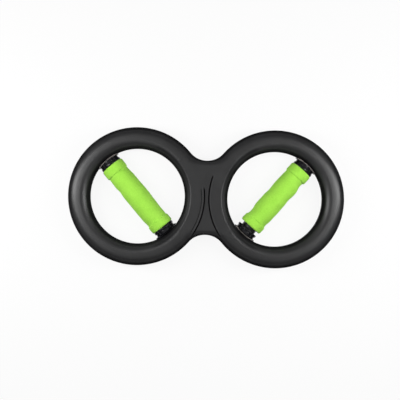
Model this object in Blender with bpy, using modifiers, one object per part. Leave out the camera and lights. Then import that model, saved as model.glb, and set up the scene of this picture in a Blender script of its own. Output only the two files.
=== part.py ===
# Hand gripper: a figure-8 frame of two moulded shells, with a handle that turns inside each ring.
# Metres, +Z up. The gripper lies flat. The origin is under its middle, on the surface it rests on.
# Each handle's bar lies along its own local X axis, with the ring's axis as local Z.

from math import asin, atan2, copysign, cos, hypot, pi, radians, sin, sqrt

import bmesh
import bpy
from mathutils import Matrix

# Frame, outside
OUTER_R = 0.0960  # outer radius of each ring
RING_GAP = 0.0  # between the two outer circles, which just touch
TUBE_WIDTH = 0.0297  # width of the ring's tube, seen from the front
DEPTH = 0.0360  # thickness of the frame, front to rear
ROUND_R = 0.0130  # rounding of the tube's edges
WAIST_HALF = 0.0515  # half the height of the waist at its narrowest
WAIST_ROUND_R = 0.0080  # the edges' rounding there, smaller than round the rings

# Frame, inside
WALL = 0.0035  # roof and outer wall of each shell
RIB = 0.0032  # wall between the track and the pockets
LIP_WALL = 0.0035  # from the bore to the channel behind the lips
SLOT_HALF = 0.0050  # half the height of the slot in the bore
GUIDE_HALF = 0.0105  # half the height of the channel where the carriage slides
GUIDE_DEPTH = 0.0037  # how far that guide reaches outward
ROOF_RISE = 0.0035  # radial run of the slope up to the roof
POCKET_HALF = 0.0110
SCREW_ANGLES = (75, 145, 215, 285)  # round each ring, from the direction of the waist
POCKET_MARGIN = 0.0070  # from a screw's centre to the next pocket
WAIST_SCREW_Y = 0.0220
WAIST_POCKET_HALF_X = 0.0095
WAIST_POCKET_HALF_Y = 0.0145
WAIST_ROUND_POCKET_Y = 0.0385
WAIST_ROUND_POCKET_R = 0.0080
GROOVE_INSET = 0.0028  # the arcs on the waist, inside each ring's outer circle
GROOVE_WIDTH = 0.0014
GROOVE_DEPTH = 0.0010
GROOVE_ANGLES = {"left": (-33, 14), "right": (-33, 20)}

# Gaps
CLEAR = 0.0003  # between pieces that touch on the real object
RUNNING = 0.0004  # round the carriage where it slides

# Shell screws, self-tapping, driven from the rear
SCREW_R = 0.0019
SCREW_LENGTH = 0.0195
SCREW_HEAD_R = 0.0038
SCREW_HEAD_HEIGHT = 0.0027
SCREW_SEAT = 0.0090  # height of the head's seat over the rear face
SCREW_HOLE_END = 0.0060  # material left in front of the pilot hole
COUNTERBORE_PLAY = 0.0005

# Handle
HANDLE_ANGLES = {"left": 131, "right": 49}  # direction of each handle's upper end
CORE_R = 0.0110
CORE_WALL = 0.0020
FLANGE_R = 0.0155
FLANGE_THICK = 0.0030
FLANGE_EDGE = 0.0005
SPIGOT_LENGTH = 0.0150
GRIP_R = 0.01605
GRIP_NECK_R = 0.0155
COLLAR_R = 0.0166
COLLAR_LENGTH = 0.0120
COLLAR_EDGE = 0.0010
COLLAR_STEP = 0.0012
BARE_NECK = {"left": 0.0, "right": 0.0048}  # of the core tube, between sleeve and lower flange

# Carriage
HUB_R = 0.0146
HUB_STAND = 0.0022  # how far the hub's sides stand out of the shoe
HUB_JOIN = 0.0006  # how far the hub's end runs into the shoe
SHOE_THICK = 0.0032
SHOE_HALF_Z = 0.0090
SHOE_HALF_LENGTH = 0.0174
SHOE_FLAT_HALF = 0.0060  # half the height of its inner face
SHOE_RIM = 0.0015  # its thickness at the upper and lower edges
SHOE_FALL = 0.0008  # how much its front and rear faces fall towards the ring
TONGUE_HALF_LENGTH = 0.0085
WEB_HALF = 0.0094
BLOCK_BACK = 0.0034  # from the track to the block
BLOCK_END = 0.0012  # past the rollers
JOIN_DEPTH = 0.0010  # how far the tongue runs into the block
BAR_SCREW_R = 0.0025
BAR_SCREW_LENGTH = 0.0300
BAR_SCREW_HEAD_R = 0.00425
BAR_SCREW_HEAD_HEIGHT = 0.0034

# Rollers
ROLLER_R = 0.0060
ROLLER_HALF = 0.0050
ROLLER_PLAY = 0.0009  # from the lip to the roller
ROLLER_CHAMFER = 0.0005
PIN_R = 0.0020

# Facets
RING_STEPS = 52
SADDLE_STEPS = 8
ROUND_STEPS = 4
GRIP_STEPS = 20
SMALL_STEPS = 16
SCREW_STEPS = 10
ARC_STEPS = 7  # along a pocket or groove
SECTOR_STEPS = 5  # along each arc of a carriage
TONGUE_STEPS = 3

# Worked out from the sizes above
MID_Z = DEPTH / 2
STRAIGHT = MID_Z - ROUND_R
RING_X = OUTER_R + RING_GAP / 2
BORE_R = OUTER_R - TUBE_WIDTH
LIP_R = BORE_R + LIP_WALL
TRACK_R = LIP_R + ROLLER_PLAY + 2 * ROLLER_R + CLEAR
ROOF_HALF = MID_Z - WALL
SADDLE_R = (WAIST_HALF**2 + RING_X**2 - OUTER_R**2) / (2 * (OUTER_R - WAIST_HALF))
SADDLE_Y = WAIST_HALF + SADDLE_R
SCREW_RING_R = (TRACK_R + RIB + OUTER_R - WALL) / 2
SHOE_FACE_R = BORE_R - SHOE_THICK
HUB_X = sqrt(SHOE_FACE_R**2 - HUB_R**2) - HUB_STAND
PLUG_X = HUB_X - CLEAR
FLANGE_X = PLUG_X - FLANGE_THICK
BLOCK_IN = LIP_R + RUNNING
BLOCK_OUT = TRACK_R - BLOCK_BACK
ROLLER_PATH_R = TRACK_R - ROLLER_R - CLEAR
ROLLER_Y = WEB_HALF + RUNNING + ROLLER_R
ROLLER_X = sqrt(ROLLER_PATH_R**2 - ROLLER_Y**2)
BAR_SCREW_SEAT = BLOCK_OUT - BAR_SCREW_HEAD_HEIGHT - 2 * CLEAR
SIDES = {"left": -1, "right": 1}
ENDS = {"upper": 1, "lower": -1}


def material(name, colour, roughness, metallic=0.0):
    made = bpy.data.materials.new(name)
    made.use_nodes = True
    shader = made.node_tree.nodes["Principled BSDF"]
    shader.inputs["Base Color"].default_value = (*colour, 1)
    shader.inputs["Roughness"].default_value = roughness
    shader.inputs["Metallic"].default_value = metallic
    made.diffuse_color = (*colour, 1)
    return made


def smooth(mesh, angle=35):
    mesh.shade_smooth()
    mesh.set_sharp_from_angle(angle=radians(angle))


def place(mesh, name, finish, location=(0, 0, 0), rotation=(0, 0, 0), parent=None):
    """A piece of the gripper: one named object with one material."""
    obj = bpy.data.objects.new(name, mesh)
    if not mesh.materials:
        mesh.materials.append(finish)
    obj.location = location
    obj.rotation_euler = rotation
    obj.parent = parent
    parts.objects.link(obj)
    return obj


def helper(mesh, name, location=(0, 0, 0), rotation=(0, 0, 0), group=None):
    """A cutter: it is hidden and drawn as wires."""
    obj = bpy.data.objects.new(name, mesh)
    obj.location = location
    obj.rotation_euler = rotation
    obj.hide_render = True
    obj.display_type = "WIRE"
    (group or cutters).objects.link(obj)
    return obj


def mesh_from(bm, name):
    bmesh.ops.recalc_face_normals(bm, faces=bm.faces)
    mesh = bpy.data.meshes.new(name)
    bm.to_mesh(mesh)
    bm.free()
    return mesh


def evaluated(obj):
    """The object's mesh with its modifiers applied; the object itself is removed."""
    bpy.context.view_layer.update()
    graph = bpy.context.evaluated_depsgraph_get()
    mesh = bpy.data.meshes.new_from_object(obj.evaluated_get(graph))
    bpy.data.objects.remove(obj)
    return mesh


def arc(centre, radius, start, end, steps):
    """Points along an arc, angles in radians."""
    angles = [start + (end - start) * i / steps for i in range(steps + 1)]
    return [(centre[0] + radius * cos(a), centre[1] + radius * sin(a)) for a in angles]


def turned(profile, steps, name):
    """A profile of (radius, height) points turned round Z. An open one starts and ends on the axis."""
    mesh = bpy.data.meshes.new(name)
    edges = [(i, i + 1) for i in range(len(profile) - 1)]
    if profile[0][0] > 0:
        edges.append((len(profile) - 1, 0))
    mesh.from_pydata([(r, 0, z) for r, z in profile], edges, [])
    obj = bpy.data.objects.new(name, mesh)
    cutters.objects.link(obj)
    screw = obj.modifiers.new("turn", "SCREW")
    screw.steps = screw.render_steps = steps
    screw.use_merge_vertices = True
    screw.merge_threshold = 1e-6
    solid = evaluated(obj)
    smooth(solid)
    return solid


def swept(profile, start, end, steps, name):
    """A closed profile of (radius, height) points carried round Z from one angle to another."""
    bm = bmesh.new()
    face = bm.faces.new([bm.verts.new((r * cos(start), r * sin(start), z)) for r, z in profile])
    bmesh.ops.spin(bm, geom=[face], axis=(0, 0, 1), cent=(0, 0, 0), angle=end - start, steps=steps)
    return mesh_from(bm, name)


def drum(radius, low, high, steps, name):
    """A plain cylinder along Z."""
    bm = bmesh.new()
    shift = Matrix.Translation((0, 0, (low + high) / 2))
    bmesh.ops.create_cone(bm, cap_ends=True, segments=steps, radius1=radius, radius2=radius,
                          depth=high - low, matrix=shift)
    return mesh_from(bm, name)


def block(low, high, name):
    """A box between two corners."""
    bm = bmesh.new()
    size = [b - a for a, b in zip(low, high)]
    middle = [(a + b) / 2 for a, b in zip(low, high)]
    bmesh.ops.create_cube(bm, size=1, matrix=Matrix.Translation(middle) @ Matrix.Diagonal((*size, 1)))
    return mesh_from(bm, name)


def boolean(obj, operation, other):
    """Adds a Boolean with an object or with a collection of them."""
    modifier = obj.modifiers.new(other.name, "BOOLEAN")
    modifier.operation = operation
    modifier.solver = "EXACT"
    if isinstance(other, bpy.types.Collection):
        modifier.operand_type = "COLLECTION"
        modifier.collection = other
    else:
        modifier.object = other


def frame_outline():
    """The flat crown's edge: the figure-8 drawn in by the rounding, from one saddle round to the next."""
    ring_r = OUTER_R - ROUND_R
    saddle_r = SADDLE_R + ROUND_R
    join = atan2(SADDLE_Y, RING_X)
    ring_steps = round(RING_STEPS * (pi - join) / pi)
    right = arc((RING_X, 0), ring_r, -(pi - join), pi - join, ring_steps)
    top = arc((0, SADDLE_Y), saddle_r, -join, join - pi, SADDLE_STEPS)
    left = arc((-RING_X, 0), ring_r, join, 2 * pi - join, ring_steps)
    bottom = arc((0, -SADDLE_Y), saddle_r, pi - join, join, SADDLE_STEPS)
    return right[:-1] + top[:-1] + left[:-1] + bottom[:-1]


def tighten_waist(bm):
    """Eases the rounding of the saddles' edges from the rings' radius to the waist's own."""
    half_turn = pi / 2 - atan2(SADDLE_Y, RING_X)
    for v in bm.verts:
        back = SADDLE_Y - abs(v.co.y)
        distance, angle = hypot(v.co.x, back), atan2(abs(v.co.x), back)
        if angle >= half_turn or distance > SADDLE_R + ROUND_R + 1e-6:
            continue
        ease = (angle / half_turn) ** 2 * (3 - 2 * angle / half_turn)
        scale = ease + (1 - ease) * WAIST_ROUND_R / ROUND_R
        shift = (SADDLE_R + (distance - SADDLE_R) * scale) / distance
        v.co.x *= shift
        v.co.y = copysign(SADDLE_Y - back * shift, v.co.y)
        v.co.z = copysign(MID_Z - (MID_Z - abs(v.co.z)) * scale, v.co.z)


def frame_blank():
    """The whole frame as one rounded solid, before it is parted and hollowed."""
    curve = bpy.data.curves.new("frame_blank", "CURVE")
    curve.dimensions = "2D"
    curve.fill_mode = "BOTH"
    curve.extrude = STRAIGHT
    curve.bevel_depth = ROUND_R
    curve.bevel_resolution = ROUND_STEPS - 1
    outlines = [frame_outline()]
    for side in SIDES.values():
        outlines.append(arc((side * RING_X, 0), BORE_R + ROUND_R, 0, 2 * pi, RING_STEPS)[:-1])
    for points in outlines:
        spline = curve.splines.new("POLY")
        spline.points.add(len(points) - 1)
        for knot, (x, y) in zip(spline.points, points):
            knot.co = (x, y, 0, 1)
        spline.use_cyclic_u = True
    obj = bpy.data.objects.new("frame_blank", curve)
    cutters.objects.link(obj)
    mesh = evaluated(obj)
    bpy.data.curves.remove(curve)
    bm = bmesh.new()
    bm.from_mesh(mesh)
    bmesh.ops.remove_doubles(bm, verts=bm.verts, dist=1e-6)
    bpy.data.meshes.remove(mesh)
    tighten_waist(bm)
    return mesh_from(bm, "frame_blank")


def hollow_cutters(group):
    """The channels, pockets and screw holes: one set that hollows both shells."""
    roof_start = LIP_R + GUIDE_DEPTH
    half_profile = [
        (BORE_R - WALL, SLOT_HALF),
        (LIP_R, SLOT_HALF),
        (LIP_R, GUIDE_HALF),
        (roof_start, GUIDE_HALF),
        (roof_start + ROOF_RISE, ROOF_HALF),
        (TRACK_R, ROOF_HALF),
    ]
    profile = half_profile + [(r, -z) for r, z in reversed(half_profile)]
    channel = turned(profile, RING_STEPS, "channel")
    pocket_profile = [
        (TRACK_R + RIB, -POCKET_HALF),
        (OUTER_R - WALL, -POCKET_HALF),
        (OUTER_R - WALL, POCKET_HALF),
        (TRACK_R + RIB, POCKET_HALF),
    ]
    margin = POCKET_MARGIN / SCREW_RING_R
    for name, side in SIDES.items():
        helper(channel, f"{name}_channel_cutter", (side * RING_X, 0, MID_Z), group=group)
        for i, (a, b) in enumerate(zip(SCREW_ANGLES, SCREW_ANGLES[1:])):
            pocket = swept(pocket_profile, radians(a) + margin, radians(b) - margin, ARC_STEPS, "pocket")
            turn = (0, 0, pi if side > 0 else 0)
            helper(pocket, f"{name}_pocket_cutter_{i + 1}", (side * RING_X, 0, MID_Z), turn, group)
    corner = (WAIST_POCKET_HALF_X, WAIST_POCKET_HALF_Y, ROOF_HALF)
    middle = block([-c for c in corner], corner, "waist_pocket")
    helper(middle, "waist_pocket_cutter", (0, 0, MID_Z), group=group)
    round_pocket = drum(WAIST_ROUND_POCKET_R, -POCKET_HALF, POCKET_HALF, SMALL_STEPS, "round_pocket")
    for name, way in ENDS.items():
        spot = (0, way * WAIST_ROUND_POCKET_Y, MID_Z)
        helper(round_pocket, f"{name}_waist_pocket_cutter", spot, group=group)
    hole_r = SCREW_R + CLEAR
    bore_r = SCREW_HEAD_R + COUNTERBORE_PLAY
    hole = turned([
        (0, DEPTH - SCREW_HOLE_END),
        (hole_r, DEPTH - SCREW_HOLE_END),
        (hole_r, SCREW_SEAT),
        (bore_r, SCREW_SEAT),
        (bore_r, -WALL),
        (0, -WALL),
    ], SCREW_STEPS, "screw_hole")
    for i, (x, y) in enumerate(screw_places()):
        helper(hole, f"screw_hole_cutter_{i + 1}", (x, y, 0), group=group)


def screw_places():
    """Where the shell screws stand: round each ring, then in the waist."""
    places = []
    for side in SIDES.values():
        for angle in SCREW_ANGLES:
            a = radians(angle)
            places.append((side * (RING_X - SCREW_RING_R * cos(a)), SCREW_RING_R * sin(a)))
    return places + [(0, WAIST_SCREW_Y), (0, -WAIST_SCREW_Y)]


def groove_cutters(group):
    """The two moulded arcs that carry each ring's outline across the front of the waist."""
    middle_r = OUTER_R - GROOVE_INSET
    profile = [
        (middle_r - GROOVE_WIDTH / 2, -GROOVE_DEPTH),
        (middle_r + GROOVE_WIDTH / 2, -GROOVE_DEPTH),
        (middle_r + GROOVE_WIDTH / 2, GROOVE_DEPTH),
        (middle_r - GROOVE_WIDTH / 2, GROOVE_DEPTH),
    ]
    for name, side in SIDES.items():
        low, high = (radians(a) for a in GROOVE_ANGLES[name])
        if side > 0:
            low, high = pi - high, pi - low
        groove = swept(profile, low, high, ARC_STEPS, "groove")
        helper(groove, f"{name}_groove_cutter", (side * RING_X, 0, DEPTH), group=group)


def shells():
    """The frame's two halves, parted at mid-depth."""
    blank = frame_blank()
    inside = bpy.data.collections.new("inside_cutters")
    grooves = bpy.data.collections.new("groove_cutters")
    for group in (inside, grooves):
        group.hide_render = True
        cutters.children.link(group)
    hollow_cutters(inside)
    groove_cutters(grooves)
    reach_x, reach_y = RING_X + 2 * OUTER_R, 2 * OUTER_R
    part_low = block((-reach_x, -reach_y, -DEPTH), (reach_x, reach_y, MID_Z + CLEAR / 2), "rear_half")
    part_high = block((-reach_x, -reach_y, MID_Z - CLEAR / 2), (reach_x, reach_y, 2 * DEPTH), "front_half")
    for name, half in (("front_shell", part_low), ("rear_shell", part_high)):
        mesh = blank.copy()
        mesh.name = name
        mesh.transform(Matrix.Translation((0, 0, MID_Z)))
        shell = place(mesh, name, black_plastic)
        boolean(shell, "DIFFERENCE", helper(half, f"{name}_parting_cutter"))
        boolean(shell, "DIFFERENCE", inside)
        if name == "front_shell":
            boolean(shell, "DIFFERENCE", grooves)
        smooth(mesh)
    bpy.data.meshes.remove(blank)


def screw_mesh(shank_r, length, head_r, head_height, name):
    """A screw along Z, its head's seat at height 0 and its tip below."""
    socket_r = head_r * 0.45
    socket_floor = head_height * 0.35
    crown_r = head_r * 0.8
    rim_height = head_height * 0.6
    return turned([
        (0, socket_floor),
        (socket_r, socket_floor),
        (socket_r, head_height),
        (crown_r, head_height),
        (head_r, rim_height),
        (head_r, 0),
        (shank_r, 0),
        (shank_r, shank_r - length),
        (0, -length),
    ], SCREW_STEPS, name)


def shell_screws():
    mesh = screw_mesh(SCREW_R, SCREW_LENGTH, SCREW_HEAD_R, SCREW_HEAD_HEIGHT, "shell_screw")
    for i, (x, y) in enumerate(screw_places()):
        place(mesh, f"shell_screw_{i + 1}", screw_steel, (x, y, SCREW_SEAT - CLEAR), (pi, 0, 0))


def core_tube():
    half = FLANGE_X - CLEAR
    inner = CORE_R - CORE_WALL
    return turned([(inner, half), (CORE_R, half), (CORE_R, -half), (inner, -half)], GRIP_STEPS, "core_tube")


def plug_mesh():
    """The flanged end fitting: a spigot in the core tube, with its flange against the tube's end."""
    bore = BAR_SCREW_R + CLEAR
    spigot = CORE_R - CORE_WALL - CLEAR
    return turned([
        (bore, PLUG_X),
        (FLANGE_R - FLANGE_EDGE, PLUG_X),
        (FLANGE_R, PLUG_X - FLANGE_EDGE),
        (FLANGE_R, FLANGE_X + FLANGE_EDGE),
        (FLANGE_R - FLANGE_EDGE, FLANGE_X),
        (spigot, FLANGE_X),
        (spigot, FLANGE_X - SPIGOT_LENGTH),
        (bore, FLANGE_X - SPIGOT_LENGTH),
    ], GRIP_STEPS, "plug")


def grip_length(name):
    return 2 * (FLANGE_X - CLEAR) - BARE_NECK[name]


def grip_mesh(name):
    """The foam sleeve, with a thicker collar at each end."""
    half = grip_length(name) / 2
    upper = [
        (CORE_R + CLEAR, half),
        (COLLAR_R - COLLAR_EDGE, half),
        (COLLAR_R, half - COLLAR_EDGE),
        (COLLAR_R, half - COLLAR_LENGTH),
        (GRIP_NECK_R, half - COLLAR_LENGTH - COLLAR_STEP),
        (GRIP_R, half - 2 * COLLAR_LENGTH),
    ]
    return turned(upper + [(r, -z) for r, z in reversed(upper)], GRIP_STEPS, f"{name}_grip")


def bore_wall(z):
    """Radius of the rounded bore at a height from mid-depth."""
    past = max(abs(z) - STRAIGHT, 0)
    return BORE_R + ROUND_R - sqrt(ROUND_R**2 - past**2)


def carriage_mesh():
    """The saddle shoe, its tongue through the slot and the forked block in the channel, as one moulding."""
    heights = [(SHOE_HALF_Z - SHOE_FALL) * i / 3 for i in range(-3, 4)]
    outer = [(bore_wall(z) - RUNNING, z) for z in heights]
    inner = [
        (outer[-1][0] - SHOE_RIM, SHOE_HALF_Z),
        (SHOE_FACE_R, SHOE_FLAT_HALF),
        (SHOE_FACE_R, -SHOE_FLAT_HALF),
        (outer[0][0] - SHOE_RIM, -SHOE_HALF_Z),
    ]
    shoe_angle = asin(SHOE_HALF_LENGTH / BORE_R)
    shoe = helper(swept(outer + inner, -shoe_angle, shoe_angle, SECTOR_STEPS, "shoe"), "carriage")
    hub_end = SHOE_FACE_R + HUB_JOIN
    hub = helper(drum(HUB_R, HUB_X, BORE_R, GRIP_STEPS, "hub"), "hub", rotation=(0, pi / 2, 0))
    hub_reach = helper(drum(hub_end, -MID_Z, MID_Z, RING_STEPS, "hub_reach"), "hub_reach")
    boolean(hub, "INTERSECT", hub_reach)
    tongue_half = SLOT_HALF - RUNNING
    tongue_angle = asin(TONGUE_HALF_LENGTH / BORE_R)
    tongue_start = BORE_R - SHOE_THICK / 2
    tongue_end = BLOCK_IN + JOIN_DEPTH
    tongue = helper(swept([
        (tongue_start, -tongue_half),
        (tongue_end, -tongue_half),
        (tongue_end, tongue_half),
        (tongue_start, tongue_half),
    ], -tongue_angle, tongue_angle, TONGUE_STEPS, "tongue"), "tongue")
    slide_half = GUIDE_HALF - CLEAR
    block_angle = asin((ROLLER_Y + ROLLER_R + BLOCK_END) / BLOCK_OUT)
    slide = helper(swept([
        (BLOCK_IN, -slide_half),
        (BLOCK_OUT, -slide_half),
        (BLOCK_OUT, slide_half),
        (BLOCK_IN, slide_half),
    ], -block_angle, block_angle, SECTOR_STEPS, "slide"), "slide")
    fork_half = ROLLER_HALF + CLEAR
    fork_end = ROLLER_Y + 2 * ROLLER_R
    cuts = []
    for way in ENDS.values():
        near, far = sorted((way * WEB_HALF, way * fork_end))
        fork = block((LIP_R - LIP_WALL / 2, near, -fork_half), (TRACK_R, far, fork_half), "fork")
        cuts.append(helper(fork, "fork"))
        pin_hole = drum(PIN_R + CLEAR, -MID_Z, MID_Z, SCREW_STEPS, "pin_hole")
        cuts.append(helper(pin_hole, "pin_hole", (ROLLER_X, way * ROLLER_Y, 0)))
    hole_r = BAR_SCREW_R + CLEAR
    head_r = BAR_SCREW_HEAD_R + RUNNING
    cuts.append(helper(turned([
        (0, TRACK_R),
        (head_r, TRACK_R),
        (head_r, BAR_SCREW_SEAT),
        (hole_r, BAR_SCREW_SEAT),
        (hole_r, FLANGE_X),
        (0, FLANGE_X),
    ], SCREW_STEPS, "bar_hole"), "bar_hole", rotation=(0, pi / 2, 0)))
    for other in (hub, tongue, slide):
        boolean(shoe, "UNION", other)
    for other in cuts:
        boolean(shoe, "DIFFERENCE", other)
    mesh = evaluated(shoe)
    for other in (hub, hub_reach, tongue, slide, *cuts):
        bpy.data.objects.remove(other)
    mesh.name = "carriage"
    smooth(mesh, 30)
    return mesh


def roller_mesh():
    bore, edge, half = PIN_R + CLEAR, ROLLER_CHAMFER, ROLLER_HALF
    upper = [(bore, half), (ROLLER_R - edge, half), (ROLLER_R, half - edge)]
    return turned(upper + [(r, -z) for r, z in reversed(upper)], SMALL_STEPS, "roller")


def handles():
    """Each handle hangs from an empty on its ring's axis, turned to the angle it stands at."""
    core, plug, carriage, roller = core_tube(), plug_mesh(), carriage_mesh(), roller_mesh()
    head = (BAR_SCREW_HEAD_R, BAR_SCREW_HEAD_HEIGHT)
    bar_screw = screw_mesh(BAR_SCREW_R, BAR_SCREW_LENGTH, *head, "bar_screw")
    pin = drum(PIN_R, CLEAR - GUIDE_HALF, GUIDE_HALF - CLEAR, SCREW_STEPS, "roller_pin")
    smooth(pin)
    along = (0, pi / 2, 0)
    for name, side in SIDES.items():
        axis = bpy.data.objects.new(f"{name}_handle", None)
        axis.location = (side * RING_X, 0, MID_Z)
        axis.rotation_euler = (0, 0, radians(HANDLE_ANGLES[name]))
        parts.objects.link(axis)
        place(core, f"{name}_core_tube", tube_black, rotation=along, parent=axis)
        grip_x = FLANGE_X - CLEAR - grip_length(name) / 2
        place(grip_mesh(name), f"{name}_grip", green_foam, (grip_x, 0, 0), along, axis)
        for end, way in ENDS.items():
            turn = (0, way * pi / 2, 0)
            facing = (0, 0, 0 if way > 0 else pi)
            stem = f"{name}_{end}"
            place(plug, f"{stem}_plug", gloss_black, rotation=turn, parent=axis)
            place(carriage, f"{stem}_carriage", gloss_black, rotation=facing, parent=axis)
            seat = way * (BAR_SCREW_SEAT + CLEAR)
            place(bar_screw, f"{stem}_bar_screw", screw_steel, (seat, 0, 0), turn, axis)
            for i, across in enumerate((ROLLER_Y, -ROLLER_Y)):
                spot = (way * ROLLER_X, across, 0)
                place(roller, f"{stem}_roller_{i + 1}", white_nylon, spot, parent=axis)
                place(pin, f"{stem}_roller_pin_{i + 1}", pin_steel, spot, parent=axis)


for old in list(bpy.data.objects):
    bpy.data.objects.remove(old)
parts = bpy.data.collections.new("hand_gripper")
cutters = bpy.data.collections.new("hand_gripper_cutters")
for made in (parts, cutters):
    bpy.context.scene.collection.children.link(made)

black_plastic = material("satin_black_plastic", (0.035, 0.035, 0.036), 0.42)
gloss_black = material("gloss_black_plastic", (0.012, 0.012, 0.014), 0.12)
green_foam = material("lime_green_foam", (0.34, 0.80, 0.06), 0.85)
tube_black = material("black_coated_tube", (0.02, 0.02, 0.022), 0.3, 0.6)
screw_steel = material("zinc_screw_steel", (0.55, 0.55, 0.57), 0.35, 1.0)
pin_steel = material("ground_pin_steel", (0.62, 0.62, 0.64), 0.22, 1.0)
white_nylon = material("white_nylon", (0.82, 0.82, 0.79), 0.4)

shells()
shell_screws()
handles()
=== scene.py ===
# Hand gripper: the looks of the figure-8 frame, its foam handles and their running gear.
# Metres, +Z up. The gripper lies on its rear face, with the waist along Y.

from math import atan2, copysign, cos, exp, hypot, pi, radians, sin, sqrt

import bmesh
import bpy
from mathutils import Matrix, Vector, noise


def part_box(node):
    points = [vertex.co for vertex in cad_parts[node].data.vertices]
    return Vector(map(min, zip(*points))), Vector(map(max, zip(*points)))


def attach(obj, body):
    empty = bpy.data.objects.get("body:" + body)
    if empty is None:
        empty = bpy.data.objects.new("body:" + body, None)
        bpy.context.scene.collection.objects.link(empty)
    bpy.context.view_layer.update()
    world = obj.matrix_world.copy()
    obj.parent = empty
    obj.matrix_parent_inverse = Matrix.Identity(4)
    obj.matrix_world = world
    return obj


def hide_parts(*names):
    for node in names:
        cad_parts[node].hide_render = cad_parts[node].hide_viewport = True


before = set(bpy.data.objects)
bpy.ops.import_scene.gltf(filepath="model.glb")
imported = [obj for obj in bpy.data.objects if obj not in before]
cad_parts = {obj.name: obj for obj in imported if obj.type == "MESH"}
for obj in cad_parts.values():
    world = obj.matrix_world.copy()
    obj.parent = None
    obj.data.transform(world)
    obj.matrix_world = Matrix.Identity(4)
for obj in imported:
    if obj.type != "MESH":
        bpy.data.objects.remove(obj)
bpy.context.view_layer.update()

scene = bpy.context.scene
sides = {"left": -1, "right": 1}
ends = ("upper", "lower")
layout = {
    "ringX": 0.096,  # ring centres, left and right of the middle
    "midZ": 0.018,
    "turn": {"left": 131, "right": 49},  # which way each handle's upper end points
}
print("frame loaded:", len(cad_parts), "CAD nodes")


# ---- shader maths: a wire stands in a sum as a number does

class Wire:
    def __init__(self, finish, socket):
        self.finish, self.socket = finish, socket

    def maths(self, operation, first, second=0.0):
        return self.finish.node("Math", {"operation": operation}, {0: first, 1: second})

    def __add__(self, other):
        return self.maths("ADD", self, other)

    def __radd__(self, other):
        return self.maths("ADD", other, self)

    def __sub__(self, other):
        return self.maths("SUBTRACT", self, other)

    def __rsub__(self, other):
        return self.maths("SUBTRACT", other, self)

    def __mul__(self, other):
        return self.maths("MULTIPLY", self, other)

    def __abs__(self):
        return self.maths("ABSOLUTE", self)

    def root(self):
        return self.maths("SQRT", self)

    def above(self, low, high):  # 0 under low, 1 over high, smooth between
        sockets = {"Value": self, "From Min": low, "From Max": high}
        return self.finish.node("MapRange", {"interpolation_type": "SMOOTHSTEP"}, sockets)

    def near(self, middle, reach):  # 1 at middle, 0 beyond reach
        return 1 - abs(self - middle).above(0, reach)


class Finish:
    def __init__(self, name, constants):
        self.material = bpy.data.materials.new(name)
        self.material.use_nodes = True
        self.tree = self.material.node_tree
        self.shader = self.tree.nodes["Principled BSDF"]
        for socket, value in constants.items():
            self.shader.inputs[socket].default_value = value
        self.place = self.node("TexCoord", out="Object")

    def feed(self, value, socket):
        if isinstance(value, Wire):
            self.tree.links.new(value.socket, socket)
        else:
            socket.default_value = value

    def node(self, kind, settings=None, sockets=None, out=0):
        made = self.tree.nodes.new("ShaderNode" + kind)
        for name, value in (settings or {}).items():
            setattr(made, name, value)
        for name, value in (sockets or {}).items():
            self.feed(value, made.inputs[name])
        return Wire(self, made.outputs[out])

    def split(self, vector):
        parted = self.node("SeparateXYZ", None, {0: vector})
        return [Wire(self, socket) for socket in parted.socket.node.outputs]

    def noise(self, scale, detail=2.0, place=None):
        sockets = {"Vector": place or self.place, "Scale": scale, "Detail": detail}
        return self.node("TexNoise", None, sockets)

    def pores(self, scale):  # distance to the nearest cell's middle
        return self.node("TexVoronoi", None, {"Vector": self.place, "Scale": scale})

    def stretched(self, scale, turn):  # the place, squeezed along one axis of a turned piece
        sockets = {"Vector": self.place, "Rotation": (0, 0, turn), "Scale": scale}
        return self.node("Mapping", None, sockets)

    def tint(self, share, first, second):
        return self.node("Mix", {"data_type": "RGBA"}, {0: share, 6: first, 7: second}, out=2)

    def finish(self, colour, roughness, height):  # height in millimetres
        self.feed(colour, self.shader.inputs["Base Color"])
        self.feed(roughness, self.shader.inputs["Roughness"])
        bump = self.node("Bump", None, {"Height": height, "Distance": 0.001})
        self.feed(bump, self.shader.inputs["Normal"])
        return self.material

    def matteAtGrazing(self, colour, low, high, dull):
        # a fine texture takes the gloss off a slanting surface
        matte = self.node("BsdfDiffuse", None, {"Color": colour})
        slant = self.node("LayerWeight", None, {"Blend": 0.5}, out="Facing").above(low, high)
        share = slant.maths("MINIMUM", slant + dull, 1.0)
        both = self.node("MixShader", None, {0: share, 1: Wire(self, self.shader.outputs[0]), 2: matte})
        self.feed(both, self.tree.nodes["Material Output"].inputs["Surface"])


def rgb(red, green, blue):
    return (red, green, blue, 1.0)


# ---- mesh helpers

mergeReach = {"mesh": 1e-6, "carved": 2e-6, "shell": 2e-5}
slack = 1e-5  # for telling on which side of an edge a corner lies


def clamped(value):
    return min(1.0, max(0.0, value))


def smooth(share):
    return share * share * (3 - 2 * share)


def wire(bm, corners, closed=True):
    # corners are (across, up, rounding, steps) in the XZ plane
    verts = [bm.verts.new((across, 0, up)) for across, up, _, _ in corners]
    pairs = list(zip(verts, verts[1:] + verts[:1]))
    for pair in pairs if closed else pairs[:-1]:
        bm.edges.new(pair)
    for vert, (_, _, rounding, steps) in zip(verts, corners):
        if rounding:
            bmesh.ops.bevel(bm, geom=[vert], offset=rounding, offset_type="OFFSET", segments=steps,
                            profile=0.5, affect="VERTICES", material=-1)


def sharp(*corners):
    return [(across, up, 0, 1) for across, up in corners]


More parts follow.
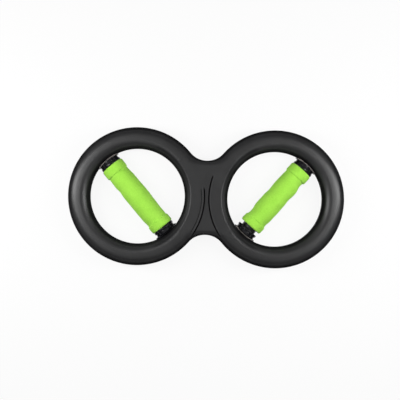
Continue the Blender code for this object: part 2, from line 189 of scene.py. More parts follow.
def lathe(corners, steps, longest=None, closed=True):
    bm = bmesh.new()
    wire(bm, corners, closed)
    if longest:  # more rings along the long stretches
        for edge in list(bm.edges):
            cuts = int(edge.calc_length() / longest)
            if cuts:
                bmesh.ops.subdivide_edges(bm, edges=[edge], cuts=cuts)
    bmesh.ops.spin(bm, geom=bm.verts[:] + bm.edges[:], cent=(0, 0, 0), axis=(0, 0, 1),
                   angle=2 * pi, steps=steps, use_merge=True)
    return bm


def sector(corners, start, turn, steps):
    bm = bmesh.new()
    wire(bm, corners)
    face = bmesh.ops.contextual_create(bm, geom=bm.edges[:])["faces"]
    bmesh.ops.rotate(bm, cent=(0, 0, 0), matrix=Matrix.Rotation(start, 3, "Z"), verts=bm.verts)
    bmesh.ops.spin(bm, geom=face, cent=(0, 0, 0), axis=(0, 0, 1), angle=turn, steps=steps)
    return bm


def box(size, middle):
    bm = bmesh.new()
    bmesh.ops.create_cube(bm, size=1, matrix=Matrix.Translation(middle) @ Matrix.Diagonal((*size, 1)))
    return bm


def rod(radius, low, high, steps):
    bm = bmesh.new()
    middle = Matrix.Translation((0, 0, (low + high) / 2))
    bmesh.ops.create_cone(bm, cap_ends=True, segments=steps, radius1=radius, radius2=radius,
                          depth=high - low, matrix=middle)
    return bm


def meshOf(bm, name):
    bmesh.ops.remove_doubles(bm, verts=bm.verts, dist=mergeReach["mesh"])
    bmesh.ops.recalc_face_normals(bm, faces=bm.faces)
    mesh = bpy.data.meshes.new(name)
    bm.to_mesh(mesh)
    bm.free()
    return mesh


def linked(name, data):
    made = bpy.data.objects.new(name, data)
    scene.collection.objects.link(made)
    return made


def rawObject(bm, name, place=Matrix.Identity(4)):
    mesh = meshOf(bm, name)
    mesh.transform(place)
    return linked(name, mesh)


def copied(original, name, place):
    mesh = original.copy()
    mesh.transform(place)
    return linked(name, mesh)


def carve(made, joined=(), cut=(), kept=()):
    for others, operation in ((joined, "UNION"), (cut, "DIFFERENCE"), (kept, "INTERSECT")):
        for other in others:
            change = made.modifiers.new(other.name, "BOOLEAN")
            change.operation = operation
            change.solver = "EXACT"
            change.object = other
    bpy.context.view_layer.update()
    graph = bpy.context.evaluated_depsgraph_get()
    mesh = bpy.data.meshes.new_from_object(made.evaluated_get(graph))
    made.modifiers.clear()
    bm = bmesh.new()  # the Booleans leave corners less than a micrometre apart
    bm.from_mesh(mesh)
    bmesh.ops.remove_doubles(bm, verts=bm.verts, dist=mergeReach["carved"])
    bmesh.ops.dissolve_degenerate(bm, edges=bm.edges, dist=mergeReach["carved"])
    bm.to_mesh(mesh)
    bm.free()
    made.data = mesh
    for other in (*joined, *cut, *kept):
        bpy.data.objects.remove(other)
    return mesh


def dress(made, finish, body, nodes, sharpFrom=35):
    made.data.shade_smooth()
    made.data.set_sharp_from_angle(angle=radians(sharpFrom))
    made.data.materials.clear()
    made.data.materials.append(finish)
    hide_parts(*nodes)
    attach(made, body)
    return made


# ---- finishes

plastic = {
    # painted shade: the crown colour is lighter and the flank colour darker, standing in for the shade
    # on the slanting sides
    "crown": rgb(0.014, 0.014, 0.0145),
    "flank": rgb(0.006, 0.006, 0.0065),
    "cloud": rgb(0.028, 0.028, 0.029), "cloudShare": 0.3,
    "scuff": rgb(0.060, 0.060, 0.062), "scuffShare": 0.06,
    # painted highlight: the paler line beside each groove
    "grooveHighlight": rgb(0.030, 0.030, 0.031), "grooveHighlightShare": 0.8,
    "grooveShade": rgb(0.001, 0.001, 0.001),  # painted shade in the floors of the grooves
    "roughness": 0.33,
    "grain": 0.014, "waves": 0.03,  # mm
    "front": (0.028, 0.030),  # the height where the paint of the front starts
    "crownBand": (0.006, 0.0172),  # from the middle height, where the flank turns into the crown and the flank's painted shade gives way to the crown's lighter colour
    "matte": (0.04, 0.38),  # how slanting a surface is where its gloss starts to go and has gone
}
panel = {  # the bare crescent between each bore and its arc, measured from the ring's axis
    "inner": 0.0600, "flat": 0.0780, "outer": 0.0890, "depth": 0.00055, "fade": radians(1.3),
    "slopeRound": 0.0300, "top": 0.0030,
    "arcs": {"left": (-39, 41), "right": (-39, 42)},  # up from the line through both axes
}
groove = {
    "radius": {"left": 0.0939, "right": 0.0922}, "half": 0.0010, "depth": 0.0013,
    "paintHalf": 0.0013, "fade": radians(6),
    "arcs": {"left": (-34, 8), "right": (-35, 19)},
    "grooveHighlight": 0.0020, "grooveHighlightHalf": 0.0013,  # a painted highlight: a paler line beside it, towards the bore
    "seam": 0.0041, "seamHalf": 0.0006, "seamDepth": 0.0006,  # a finer groove beyond, on the left only
}
lip = {  # the bore's edge on the waist's side
    "radius": 0.0735, "reach": 0.0036, "dull": 0.75,
    "wedge": 2.7, "fade": 0.02,  # how steeply its ends are cut off, and how softly
}


def mouldedPlastic():
    f = Finish("satinBlackPlastic", {"Specular IOR Level": 0.5})
    x, y, z = f.split(f.place)
    inward = layout["ringX"] - abs(x)  # towards the waist from each ring's axis
    fromAxis = (inward * inward + y * y).root()
    front = z.above(*plastic["front"])
    left = 1 - x.above(-0.0001, 0.0001)
    radius = left * (groove["radius"]["left"] - groove["radius"]["right"]) + groove["radius"]["right"]
    turn = y.maths("ARCTAN2", y, inward)
    margin = groove["fade"] / 2
    arcs = {name: [radians(a) for a in groove["arcs"][name]] for name in sides}
    low = left * (arcs["left"][0] - arcs["right"][0]) + arcs["right"][0]
    high = left * (arcs["left"][1] - arcs["right"][1]) + arcs["right"][1]
    along = front * (turn - low).above(-margin, margin) * (1 - (turn - high).above(-margin, margin))
    grooveFloor = along * fromAxis.near(radius, groove["paintHalf"])
    # painted highlight beside each groove
    grooveHighlight = along * fromAxis.near(radius - groove["grooveHighlight"], groove["grooveHighlightHalf"])
    seamFloor = left * along * fromAxis.near(radius - groove["seam"], groove["seamHalf"] + 0.0001)
    lipWedge = (inward * lip["wedge"] - abs(y)).above(-lip["fade"], lip["fade"])
    lipTop = front * lipWedge * fromAxis.near(lip["radius"], lip["reach"])
    fine = f.noise(1500, 3)
    broad = f.noise(45, 3)
    scuffs = f.noise(1.0, 4, f.stretched((900, 90, 400), 0.4)).above(0.62, 0.75)
    # painted shade: the colour darkens from the crown down the flanks
    crown = abs(z - layout["midZ"]).above(*plastic["crownBand"])
    colour = f.tint(crown, plastic["flank"], plastic["crown"])
    colour = f.tint(broad.above(0.3, 0.7) * plastic["cloudShare"], colour, plastic["cloud"])
    colour = f.tint(scuffs * plastic["scuffShare"], colour, plastic["scuff"])
    colour = f.tint(grooveHighlight * plastic["grooveHighlightShare"], colour, plastic["grooveHighlight"])
    # painted shade: the groove floors and the finer seam are coloured near black
    grooveShade = (grooveFloor + seamFloor * 0.7).above(0, 1)
    colour = f.tint(grooveShade, colour, plastic["grooveShade"])
    roughness = plastic["roughness"] + fine * 0.08 + (1 - crown) * 0.10 + grooveShade * 0.5
    relief = fine * plastic["grain"] + broad * plastic["waves"]
    f.finish(colour, roughness, relief)
    f.matteAtGrazing(colour, *plastic["matte"], lipTop * lip["dull"] + grooveShade * 0.9)
    return f.material


gloss = {
    "low": rgb(0.004, 0.004, 0.005), "high": rgb(0.010, 0.010, 0.012),
    "edgeHighlight": rgb(0.250, 0.228, 0.210),  # painted highlight: the pale line along the shoe's front edge
    "edgeHighlightRadius": 0.0650, "edgeHighlightReach": 0.0014, "edgeHighlightFrom": 0.0255, "edgeHighlightFade": 0.0004,
    "roughness": 0.12,
}


def glossPlastic():
    f = Finish("glossBlackPlastic", {"Specular IOR Level": 0.3})
    x, y, z = f.split(f.place)
    inward = layout["ringX"] - abs(x)
    fromAxis = (inward * inward + y * y).root()
    fine, broad = f.noise(900, 2), f.noise(120, 2)
    # painted highlight along the shoe's front edge
    edge = fromAxis.near(gloss["edgeHighlightRadius"], gloss["edgeHighlightReach"])
    edgeHighlight = z.above(gloss["edgeHighlightFrom"], gloss["edgeHighlightFrom"] + gloss["edgeHighlightFade"]) * edge
    # the painted highlight goes everywhere but at the left handle's lower end
    highlightedEnds = (x.above(-0.001, 0.001) + y.above(-0.001, 0.001)).above(0, 1)
    edgeHighlight = edgeHighlight * highlightedEnds * f.noise(260, 3).above(0.25, 0.50)
    colour = f.tint(edgeHighlight, f.tint(broad, gloss["low"], gloss["high"]), gloss["edgeHighlight"])
    roughness = gloss["roughness"] + broad * 0.08 + fine * 0.03 + edgeHighlight * 0.3
    return f.finish(colour, roughness, fine * 0.004 + broad * 0.02)


foam = {
    "light": rgb(0.445, 0.88, 0.095),
    "deep": rgb(0.27, 0.66, 0.045),
    "poreShade": rgb(0.16, 0.42, 0.03),
}


def foamRubber(side):
    f = Finish(f"limeFoam{side.capitalize()}", {"Specular IOR Level": 0.25, "Sheen Weight": 0.12})
    fine, middle, broad = f.noise(1300, 3), f.noise(420, 2), f.noise(70, 2)
    pit = 1 - f.pores(1100).above(0.10, 0.34)
    colour = f.tint(fine.above(0.3, 0.7) * 0.5 + middle * 0.5, foam["deep"], foam["light"])
    colour = f.tint(broad.above(0.35, 0.65) * 0.25, colour, foam["light"])
    # painted shade: the foam's pits are coloured darker
    colour = f.tint(pit * 0.35, colour, foam["poreShade"])
    relief = fine * 0.05 + middle * 0.08 - pit * 0.05
    return f.finish(colour, 0.80 + fine * 0.12, relief)


def coatedTube():
    f = Finish("blackCoatedTube", {"Specular IOR Level": 0.5})
    fine, broad = f.noise(1100, 3), f.noise(160, 2)
    colour = f.tint(broad, rgb(0.006, 0.006, 0.007), rgb(0.014, 0.014, 0.015))
    return f.finish(colour, 0.26 + fine * 0.10, fine * 0.006)


def zincSteel():
    f = Finish("zincScrewSteel", {"Metallic": 1.0})
    fine, broad = f.noise(2200, 3), f.noise(500, 3)
    colour = f.tint(broad.above(0.35, 0.65), rgb(0.50, 0.50, 0.50), rgb(0.64, 0.64, 0.62))
    return f.finish(colour, 0.26 + broad * 0.16, fine * 0.006)


def groundSteel():
    f = Finish("groundPinSteel", {"Metallic": 1.0})
    lines = f.noise(1.0, 2, f.stretched((300, 300, 6000), 0.0))
    colour = f.tint(lines, rgb(0.52, 0.52, 0.53), rgb(0.70, 0.70, 0.71))
    return f.finish(colour, 0.16 + lines * 0.12, lines * 0.003)


def turnedNylon():
    f = Finish("whiteNylon", {"Subsurface Weight": 0.1})
    lines, broad = f.noise(1.0, 2, f.stretched((200, 200, 4000), 0.0)), f.noise(250, 2)
    colour = f.tint(broad, rgb(0.74, 0.74, 0.70), rgb(0.84, 0.84, 0.81))
    return f.finish(colour, 0.34 + lines * 0.14, lines * 0.008)


shellFinish, glossFinish, tubeFinish = mouldedPlastic(), glossPlastic(), coatedTube()
screwFinish, pinFinish, nylonFinish = zincSteel(), groundSteel(), turnedNylon()
print("finishes made")


# ---- frame shells

shell = {
    "outer": 0.096, "bore": 0.0663, "waistHalf": 0.0515, "halfDepth": 0.018,
    # the edges of the rings, and what the saddles' edges ease to at the waist
    "outerRound": 0.013, "boreRound": 0.0124, "waistRound": 0.008,
    "seam": 0.00015, "seamRound": 0.0005,  # half the parting gap, and the edge along it
    "slotHalf": 0.005, "lip": 0.0698, "lipRound": 0.0005,
    "guideHalf": 0.0105, "guideEnd": 0.0735, "roof": 0.0145, "roofStart": 0.077, "track": 0.083,
    "edgeAbove": 0.001, "flatMargin": 0.0007, "sharpFrom": 18,
    "ringSteps": 140, "boreSteps": 40, "saddleSteps": 26, "roundSteps": 12, "arcSteps": 90,
}
waistCut = shell["outer"] - shell["waistHalf"]
saddleR = (shell["waistHalf"]**2 + layout["ringX"]**2 - shell["outer"]**2) / (2 * waistCut)
saddleY = shell["waistHalf"] + saddleR
# where a ring runs into the waist, measured from the line to the other ring
join = atan2(saddleY, layout["ringX"])


def shellCorners():
    s = shell
    return [
        (s["bore"], s["slotHalf"], s["lipRound"], 3),
        (s["bore"], s["halfDepth"], s["boreRound"], s["roundSteps"]),
        (s["outer"], s["halfDepth"], s["outerRound"], s["roundSteps"]),
        (s["outer"], s["seam"], s["seamRound"], 3),
        (s["track"], s["seam"], 0, 1),
        (s["track"], s["roof"], 0, 1),
        (s["roofStart"], s["roof"], 0, 1),
        (s["guideEnd"], s["guideHalf"], 0, 1),
        (s["lip"], s["guideHalf"], 0, 1),
        (s["lip"], s["slotHalf"], 0, 1),
    ]


def onFlank(co):  # the outer side, from the crown's edge to the seam
    crownEdge = shell["outer"] - shell["outerRound"]
    onEdge = co.x > crownEdge - slack and co.z > shell["roof"] + shell["edgeAbove"]
    return co.x > crownEdge + slack or onEdge


def onBore(co):  # the bore's side and the channel behind it
    crownEdge = shell["bore"] + shell["boreRound"]
    inChannel = co.z < shell["roof"] + slack and co.x < shell["track"] + slack
    return co.x < crownEdge + slack or inChannel


def easeWaist(bm):  # a tighter edge where the waist is narrowest
    halfTurn = pi / 2 - join
    straight = shell["halfDepth"] - shell["outerRound"]
    for v in bm.verts:
        back = saddleY - abs(v.co.y)
        far, angle = hypot(v.co.x, back), abs(atan2(v.co.x, back)) / halfTurn
        if v.co.z < straight - slack:
            continue
        ease = smooth(angle)
        scale = ease + (1 - ease) * shell["waistRound"] / shell["outerRound"]
        shift = (saddleR + (far - saddleR) * scale) / far
        height = shell["halfDepth"] - (shell["halfDepth"] - v.co.z) * scale
        v.co = Vector((v.co.x * shift, copysign(saddleY - back * shift, v.co.y), height))


def sweepShell(bm, keep, centre, start, turn, steps, saddle=False):
    part = bmesh.new()
    wire(part, shellCorners())
    bmesh.ops.delete(part, geom=[v for v in part.verts if not keep(v.co)], context="VERTS")
    if saddle:  # seen from the saddle's own centre, the flank is turned about
        bmesh.ops.scale(part, vec=(-1, 1, 1), verts=part.verts)
        bmesh.ops.translate(part, vec=(saddleR + shell["outer"], 0, 0), verts=part.verts)
    bmesh.ops.rotate(part, cent=(0, 0, 0), matrix=Matrix.Rotation(start, 3, "Z"), verts=part.verts)
    bmesh.ops.translate(part, vec=(*centre, 0), verts=part.verts)
    bmesh.ops.spin(part, geom=part.verts[:] + part.edges[:], cent=(*centre, 0), axis=(0, 0, 1),
                   angle=turn, steps=steps)
    if saddle:
        easeWaist(part)
    mesh = bpy.data.meshes.new("part")
    part.to_mesh(mesh)
    part.free()
    bm.from_mesh(mesh)
    bpy.data.meshes.remove(mesh)


def shellBody(name, way):
    bm = bmesh.new()
    ring = (layout["ringX"], 0)
    sweepShell(bm, lambda co: True, ring, join - pi, 2 * (pi - join), shell["ringSteps"])
    sweepShell(bm, onBore, ring, pi - join, 2 * join, shell["boreSteps"])
    for up in (1, -1):
        sweepShell(bm, onFlank, (0, up * saddleY), -up * pi / 2, up * (pi / 2 - join),
                   shell["saddleSteps"], True)
    reach = mergeReach["shell"]
    bmesh.ops.remove_doubles(bm, verts=bm.verts, dist=reach)
    bmesh.ops.mirror(bm, geom=bm.verts[:] + bm.edges[:] + bm.faces[:], merge_dist=reach, axis="X")
    bmesh.ops.remove_doubles(bm, verts=bm.verts, dist=reach)
    rims = [edge for edge in bm.edges if edge.is_boundary]
    filled = bmesh.ops.holes_fill(bm, edges=rims, sides=0)["faces"]
    for face in filled:  # a narrow margin keeps the flat of the waist flat in the shading
        bmesh.ops.inset_individual(bm, faces=[face], thickness=shell["flatMargin"], depth=0.0,
                                   use_even_offset=True)
    bmesh.ops.scale(bm, vec=(1, 1, way), verts=bm.verts)
    bmesh.ops.translate(bm, vec=(0, 0, layout["midZ"]), verts=bm.verts)
    print(name, "fills", len(filled), "open edges", sum(e.is_boundary for e in bm.edges))
    return rawObject(bm, name)


def waistCutter(name, kind, corners, arc, fade, lift):
    # an arc round one ring's axis across the front of the waist, that fades out at its ends
    low, high = (radians(a) for a in arc)
    low, high = low - fade / 2, high + fade / 2
    bm = sector(corners, low, high - low, shell["arcSteps"])
    for v in bm.verts:
        angle = atan2(v.co.y, v.co.x)
        v.co.z += lift * (1 - smooth(clamped(min(angle - low, high - angle) / fade)))
    if name == "right":
        bmesh.ops.scale(bm, vec=(-1, 1, 1), verts=bm.verts)
    place = Matrix.Translation((sides[name] * layout["ringX"], 0, 2 * layout["midZ"]))
    return rawObject(bm, name + kind, place)


def grooveCutter(name, kind="Groove", inside=0.0, half=groove["half"], depth=groove["depth"]):
    middle = groove["radius"][name] - inside
    corners = [
        (middle - half, depth, 0, 1), (middle - half, -depth * 0.3, 0.0002, 2),
        (middle, -depth, 0.0004, 4),
        (middle + half, -depth * 0.3, 0.0002, 2), (middle + half, depth, 0, 1),
    ]
    return waistCutter(name, kind, corners, groove["arcs"][name], groove["fade"], depth * 1.02)


def panelCutter(name):
    p = panel
    corners = [
        (p["inner"], p["top"], 0, 1), (p["inner"], -p["depth"], 0, 1),
        (p["flat"], -p["depth"], p["slopeRound"], 8),
        (p["outer"], 0.0001, 0, 1), (p["outer"] + p["top"], p["top"], 0, 1),
    ]
    return waistCutter(name, "Panel", corners, p["arcs"][name], p["fade"], p["depth"] * 1.05)


well = {
    "radius": 0.0043, "mouth": 0.0007, "floor": 0.0090, "hole": 0.0022, "holeEnd": 0.030, "past": 0.004,
    "steps": 48,
}


def wellCutter(number):
    low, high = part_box(f"shell_screw_{number}")
    middle = (low + high) / 2
    w = well
    corners = [
        (0, w["holeEnd"], 0, 1), (w["hole"], w["holeEnd"], 0, 1), (w["hole"], w["floor"], 0, 1),
        (w["radius"], w["floor"], 0.0006, 3), (w["radius"], w["mouth"], 0, 1),
        (w["radius"] + w["mouth"], 0, 0, 1), (w["radius"] + w["mouth"], -w["past"], 0, 1),
        (0, -w["past"], 0, 1),
    ]
    place = Matrix.Translation((middle.x, middle.y, 0))
    return rawObject(lathe(corners, w["steps"]), f"well{number}", place)


frontShell = shellBody("frontShell", 1)
seamCutter = grooveCutter("left", "Seam", groove["seam"], groove["seamHalf"], groove["seamDepth"])
cutters = [cutter(name) for cutter in (panelCutter, grooveCutter) for name in sides]
carve(frontShell, cut=cutters + [seamCutter])
rearShell = shellBody("rearShell", -1)
carve(rearShell, cut=[wellCutter(i) for i in range(1, 11)])
dress(frontShell, shellFinish, "frame", ["front_shell"], shell["sharpFrom"])
dress(rearShell, shellFinish, "frame", ["rear_shell"], shell["sharpFrom"])
print("shells made:", len(frontShell.data.polygons), "and", len(rearShell.data.polygons), "faces")


# ---- shell screws: pan heads with a cross recess

screw = {
    "head": 0.0038, "height": 0.0027, "shank": 0.0019, "length": 0.0195,
    "crown": 0.62, "shoulder": 0.45,  # shares of the head's radius and height
    "recess": 0.00115, "recessDepth": 0.0016, "recessFloor": 0.55,  # its floor's share of its mouth
    "bladeLong": 1.7, "bladeWide": 0.62, "steps": 48, "sharpFrom": 40,
    "turnEach": 1.3,  # so the recesses don't line up
}


def crossScrew():
    s = screw
    corners = [
        (0, s["height"], 0, 1), (s["head"] * s["crown"], s["height"], 0.0008, 4),
        (s["head"], s["height"] * s["shoulder"], 0.0007, 4), (s["head"], 0, 0.0001, 1),
        (s["shank"], 0, 0.0004, 2), (s["shank"], s["shank"] - s["length"], 0.0003, 2),
        (0, -s["length"], 0, 1),
    ]
    made = rawObject(lathe(corners, s["steps"]), "screw")
    size = (2 * s["recess"] * s["bladeLong"], s["recess"] * s["bladeWide"], 2 * s["recessDepth"])
    blades = []
    for turn in (0, pi / 2):
        blade = box(size, (0, 0, s["height"]))
        for v in blade.verts:  # the recess narrows towards its floor
            if v.co.z < s["height"]:
                v.co.x *= s["recessFloor"]
        blades.append(rawObject(blade, f"blade{turn:.0f}", Matrix.Rotation(turn, 4, "Z")))
    mesh = carve(made, cut=blades)
    bpy.data.objects.remove(made)
    return mesh


screwMesh = crossScrew()
for number in range(1, 11):
    node = f"shell_screw_{number}"
    low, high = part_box(node)
    seat = Vector(((low.x + high.x) / 2, (low.y + high.y) / 2, low.z + screw["height"]))
    spun = Matrix.Rotation(number * screw["turnEach"], 4, "Z")
    turned = Matrix.Translation(seat) @ Matrix.Rotation(pi, 4, "X") @ spun
    made = copied(screwMesh, f"shellScrew{number}", turned)
    dress(made, screwFinish, "frame", [node], screw["sharpFrom"])
print("shell screws made")


# ---- handles

bar = {
    "core": 0.011, "coreInner": 0.009, "coreHalf": 0.055588,
    # the flange starts 0.1 mm from the sleeve, so no light shows between them
    "flange": 0.0155, "flangeStart": 0.055688, "flangeEnd": 0.058888,
    "spigot": 0.0087, "spigotLength": 0.015, "screwHole": 0.0028, "steps": 72, "ringEvery": 0.004,
}


def barPlace(name, end="upper"):
    turn = radians(layout["turn"][name]) + (0 if end == "upper" else pi)
    middle = Matrix.Translation((sides[name] * layout["ringX"], 0, layout["midZ"]))
    return middle @ Matrix.Rotation(turn, 4, "Z")


alongBar = Matrix.Rotation(pi / 2, 4, "Y")  # a lathe's axis, laid along the bar


grip = {
    "inner": 0.0113, "body": 0.01605, "neck": 0.0153, "collar": 0.01665, "endRound": 0.0024,
    "step": 0.0009, "shoulder": 0.013,  # along the bar, from a collar to the neck and to the body
    "ringEvery": 0.0012, "firm": 0.003,  # the foam takes its full dents this far out from its bore
    "steps": 96, "sharpFrom": 50,
    "swell": [(110, 0.00022), (420, 0.00007)],  # scale and height of the unevenness
    "span": {"left": (-0.055588, 0.055588), "right": (-0.050788, 0.055588)},
    "collars": {"left": (0.0106, 0.0128), "right": (0.0110, 0.0128)},  # lower, upper
    # dents as (along the bar, side, depth, reach)
    "dents": {
        "left": [
            (0.0200, 1, 0.0009, 0.005), (-0.0300, -1, 0.0007, 0.013), (0.0380, -1, 0.0005, 0.008),
            (-0.0005, 1, -0.0002, 0.016), (-0.0005, -1, -0.0003, 0.010), (-0.0400, 1, 0.0004, 0.004),
        ],
        "right": [
            (-0.0310, 1, 0.0015, 0.0075), (0.0050, 1, 0.0008, 0.006), (0.0365, -1, 0.0020, 0.0065),
            (0.0105, -1, 0.0009, 0.006), (-0.0345, -1, 0.0005, 0.004), (0.0520, -1, 0.0005, 0.008),
        ],
    },
}


def foamGrip(name):
    g = grip
    low, high = g["span"][name]
    lower, upper = g["collars"][name]
    corners = [
        (g["inner"], high, 0.0004, 2), (g["collar"], high, g["endRound"], 6),
        (g["collar"], high - upper, 0.0007, 3), (g["neck"], high - upper - g["step"], 0.0006, 3),
        (g["body"], high - upper - g["shoulder"], 0.006, 3),
        (g["body"], low + lower + g["shoulder"], 0.006, 3),
        (g["neck"], low + lower + g["step"], 0.0006, 3), (g["collar"], low + lower, 0.0007, 3),
        (g["collar"], low, g["endRound"], 6), (g["inner"], low, 0.0004, 2),
    ]
    bm = lathe(corners, g["steps"], g["ringEvery"])
    bmesh.ops.transform(bm, matrix=alongBar, verts=bm.verts)
    seed = Vector((3.1, 7.7, 1.9)) * (1 if name == "left" else 2)
    for v in bm.verts:
        radius = sqrt(v.co.y**2 + v.co.z**2)
        share = clamped((radius - g["inner"]) / g["firm"])
        out = Vector((0, v.co.y, v.co.z)) / radius
        push = sum(height * noise.noise(v.co * scale + seed) for scale, height in g["swell"])
        for along, side, depth, reach in g["dents"][name]:
            facing = max(0.0, out.y * side)
            push -= depth * facing**1.3 * exp(-((v.co.x - along) / reach)**2)
        v.co += out * push * share
    made = rawObject(bm, f"{name}FoamGrip", barPlace(name))
    return dress(made, foamRubber(name), f"{name}_handle", [f"{name}_grip"],
                 g["sharpFrom"])


def coreTube(name):
    b = bar
    corners = [(b["coreInner"], -b["coreHalf"], 0.0003, 2), (b["core"], -b["coreHalf"], 0.0004, 3),
               (b["core"], b["coreHalf"], 0.0004, 3), (b["coreInner"], b["coreHalf"], 0.0003, 2)]
    tube = lathe(corners, b["steps"], b["ringEvery"])
    made = rawObject(tube, f"{name}CoreTube", barPlace(name) @ alongBar)
    return dress(made, tubeFinish, f"{name}_handle", [f"{name}_core_tube"])


def endPlug(name, end):
    b = bar
    inner, outer = b["flangeStart"], b["flangeEnd"]
    corners = [
        (b["screwHole"], inner - b["spigotLength"], 0.0004, 2),
        (b["spigot"], inner - b["spigotLength"], 0.0008, 3),
        (b["spigot"], inner, 0, 1), (b["flange"], inner, 0.0006, 4),
        (b["flange"], outer, 0.0005, 4), (b["screwHole"], outer, 0, 1),
    ]
    pieceName = f"{name}{end.capitalize()}Plug"
    made = rawObject(lathe(corners, b["steps"]), pieceName, barPlace(name, end) @ alongBar)
    return dress(made, glossFinish, f"{name}_handle", [f"{name}_{end}_plug"])


carriage = {
    "gap": 0.0004, "shoeFace": 0.0631, "shoeHalfZ": 0.009, "shoeFlat": 0.006, "shoeRim": 0.0015,
    "shoeFall": 0.0008, "shoeHalf": radians(15.22), "taperFrom": radians(9.5),
    "tipNarrow": 0.22, "tipThin": 0.55,  # shares that the tips lose
    "hub": 0.0146, "hubStart": 0.058940, "hubReach": 0.0637,  # drawn up against the flange
    "tongueIn": 0.0647, "tongueOut": 0.0712, "tongueHalf": radians(7.36), "tongueHalfZ": 0.0046,
    "blockIn": 0.0702, "blockOut": 0.0796, "blockHalfZ": 0.0102, "blockHalf": radians(16.8),
    "web": 0.0094, "rollerHalf": 0.005, "rollerX": 0.07505, "rollerY": 0.0158, "pin": 0.002,
    "play": 0.0003, "forkX": 0.0750, "forkWide": 0.014, "forkLong": 0.022, "pinHoleHalf": 0.018,
    "holeStart": 0.058, "holeEnd": 0.083, "screwSeat": 0.0756, "screwHead": 0.00465,
    "steps": {
        "shoe": 36, "hub": 72, "hubReach": 256, "tongue": 12, "block": 24, "pinHole": 24, "barHole": 32,
    },
    "blockRound": 0.0006, "sharpFrom": 30,
}


def boreWall(z):  # the ring's inner wall, rounded towards front and rear
    past = max(abs(z) - (shell["halfDepth"] - shell["outerRound"]), 0)
    return shell["bore"] + shell["outerRound"] - sqrt(shell["outerRound"]**2 - past**2)


def shoe():
    c = carriage
    backHalf = c["shoeHalfZ"] - c["shoeFall"]
    heights = [backHalf * i / 8 for i in range(-8, 9)]
    rim = boreWall(backHalf) - c["gap"] - c["shoeRim"]
    corners = sharp(*[(boreWall(z) - c["gap"], z) for z in heights]) + [
        (rim, c["shoeHalfZ"], 0.0006, 3), (c["shoeFace"], c["shoeFlat"], 0.0020, 5),
        (c["shoeFace"], -c["shoeFlat"], 0.0020, 5), (rim, -c["shoeHalfZ"], 0.0006, 3),
    ]
    bm = sector(corners, -c["shoeHalf"], 2 * c["shoeHalf"], c["steps"]["shoe"])
    for v in bm.verts:  # the shoe thins and narrows towards its tips
        angle, radius = atan2(v.co.y, v.co.x), sqrt(v.co.x**2 + v.co.y**2)
        t = clamped((abs(angle) - c["taperFrom"]) / (c["shoeHalf"] - c["taperFrom"]))
        t = t * t
        wall = boreWall(v.co.z) - c["gap"]
        z = v.co.z * (1 - c["tipNarrow"] * t)
        radius = radius + (wall - radius) * c["tipThin"] * t + boreWall(z) - boreWall(v.co.z)
        v.co = Vector((radius * cos(angle), radius * sin(angle), z))
    return rawObject(bm, "carriage")


def hubPiece():  # it ends on a cylinder round the ring's axis
    c = carriage
    corners = [(0, c["hubStart"], 0, 1), (c["hub"], c["hubStart"], 0.0007, 4),
               (c["hub"], shell["bore"], 0, 1), (0, shell["bore"], 0, 1)]
    hub = rawObject(lathe(corners, c["steps"]["hub"]), "hub", alongBar)
    reach = rod(c["hubReach"], -shell["halfDepth"], shell["halfDepth"], c["steps"]["hubReach"])
    hub.data = carve(hub, kept=[rawObject(reach, "hubReach")])
    return hub


def arcBlock(name, rounding=0):
    c = carriage
    inner, outer, halfZ, half = (c[name + part] for part in ("In", "Out", "HalfZ", "Half"))
    shape = (rounding, 2) if rounding else (0, 1)
    corners = [
        (inner, -halfZ, 0, 1), (outer, -halfZ, *shape), (outer, halfZ, *shape), (inner, halfZ, 0, 1),
    ]
    return rawObject(sector(corners, -half, 2 * half, c["steps"][name]), name)


def carriageCutters():
    c = carriage
    made = []
    size = (c["forkWide"], c["forkLong"], 2 * (c["rollerHalf"] + c["play"]))
    for way in (1, -1):
        fork = box(size, (c["forkX"], way * (c["web"] + c["forkLong"] / 2), 0))
        made.append(rawObject(fork, f"fork{way + 1}"))
        hole = rod(c["pin"] + c["play"], -c["pinHoleHalf"], c["pinHoleHalf"], c["steps"]["pinHole"])
        place = Matrix.Translation((c["rollerX"], way * c["rollerY"], 0))
        made.append(rawObject(hole, f"pinHole{way + 1}", place))
    narrow, wide = bar["screwHole"], c["screwHead"]
    corners = sharp((0, c["holeStart"]), (narrow, c["holeStart"]), (narrow, c["screwSeat"]),
                    (wide, c["screwSeat"]), (wide, c["holeEnd"]), (0, c["holeEnd"]))
    made.append(rawObject(lathe(corners, c["steps"]["barHole"]), "barHole", alongBar))
    return made


def carriageMesh():
    made, hub = shoe(), hubPiece()
    tongue, block = arcBlock("tongue"), arcBlock("block", carriage["blockRound"])
    mesh = carve(made, joined=[hub, tongue, block], cut=carriageCutters())
    bpy.data.objects.remove(made)
    return mesh


carriageShape = carriageMesh()
for name in sides:
    foamPiece = foamGrip(name)
    coreTube(name)
    for end in ends:
        endPlug(name, end)
        made = copied(carriageShape, f"{name}{end.capitalize()}Carriage", barPlace(name, end))
        dress(made, glossFinish, f"{name}_handle", [f"{name}_{end}_carriage"],
              carriage["sharpFrom"])
print("handles made")

gearFinishes = {"bar_screw": screwFinish, "roller_pin": pinFinish, "roller": nylonFinish}
for name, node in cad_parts.items():
    if not node.hide_render:
        kind = next(kind for kind in gearFinishes if kind in name)
        node.material_slots[0].material = gearFinishes[kind]
print("running gear finished")


# ---- floor, light and camera

studio = {
    "floorReach": 4.0, "sweep": 0.80, "sweepHeight": 1.30,  # the floor curves up at its far edge
    "floorSteps": 64, "floorDrop": 0.0002,  # how far the floor lies below the gripper
    "world": 0.06,
    "boxes": [  # place, size, power
        ((-0.45, 0.05, 0.42), (0.14, 0.5), 2.5),
        ((0.45, 0.05, 0.42), (0.14, 0.5), 2.5),
        ((0.0, 0.0, 1.4), (2.0, 2.0), 4.9),
    ],
    "aim": (0, 0, 0.02),
}


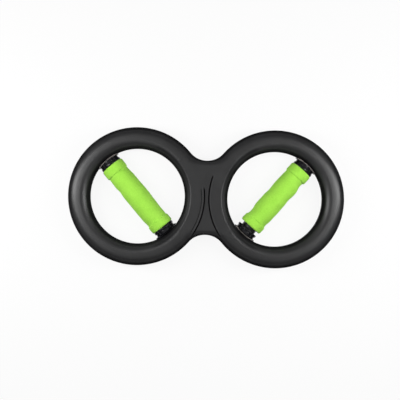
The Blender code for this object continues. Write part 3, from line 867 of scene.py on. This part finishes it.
def paleFloor():
    f = Finish("paleFloor", {"Roughness": 0.9, "Specular IOR Level": 0.1})
    broad = f.noise(3, 2)
    f.feed(f.tint(broad, rgb(0.86, 0.86, 0.86), rgb(0.90, 0.90, 0.90)), f.shader.inputs["Base Color"])
    seen = f.node("LightPath", out="Is Camera Ray")
    glossy = Wire(f, seen.socket.node.outputs["Is Glossy Ray"])
    through = Wire(f, seen.socket.node.outputs["Is Transmission Ray"])
    share = seen.maths("MAXIMUM", seen.maths("MAXIMUM", seen, glossy), through) * 0.9
    glow = f.node("Emission", None, {"Color": rgb(1, 1, 1), "Strength": 1.0})
    mixed = f.node("MixShader", None, {0: share, 1: Wire(f, f.shader.outputs[0]), 2: glow})
    f.feed(mixed, f.tree.nodes["Material Output"].inputs["Surface"])
    return f.material


sweep = [
    (0, 0, 0, 1), (studio["floorReach"], 0, studio["sweep"], 6),
    (studio["floorReach"], studio["sweepHeight"], 0, 1),
]
below = Matrix.Translation((0, 0, -studio["floorDrop"]))
floor = rawObject(lathe(sweep, studio["floorSteps"], closed=False), "floor", below)
floor.data.materials.append(paleFloor())

world = bpy.data.worlds.new("studio")
scene.world = world
world.use_nodes = True
background = world.node_tree.nodes["Background"]
background.inputs["Color"].default_value = rgb(1, 1, 1)
background.inputs["Strength"].default_value = studio["world"]

for place, size, power in studio["boxes"]:
    lamp = bpy.data.lights.new("softBox", "AREA")
    lamp.shape = "RECTANGLE"
    lamp.size, lamp.size_y = size
    lamp.energy = power
    made = linked("softBox", lamp)
    made.location = place
    made.rotation_euler = (Vector(studio["aim"]) - Vector(place)).to_track_quat("-Z", "Y").to_euler()

view = {
    "distance": 1.1, "span": 0.5594, "roll": radians(1.35), "sensor": 36,
    "objectAt": (0.00849, 0.00309),  # the gripper's middle, right of and above the picture's
}
camera = bpy.data.cameras.new("camera")
camera.sensor_width = view["sensor"]
camera.lens = view["sensor"] * view["distance"] / view["span"]
camera.shift_x, camera.shift_y = (-at / view["span"] for at in view["objectAt"])
cameraObject = linked("camera", camera)
cameraObject.location = (0, 0, layout["midZ"] + view["distance"])
cameraObject.rotation_euler = (0, 0, view["roll"])
scene.camera = cameraObject
scene.view_settings.view_transform = "Standard"
print("studio ready")
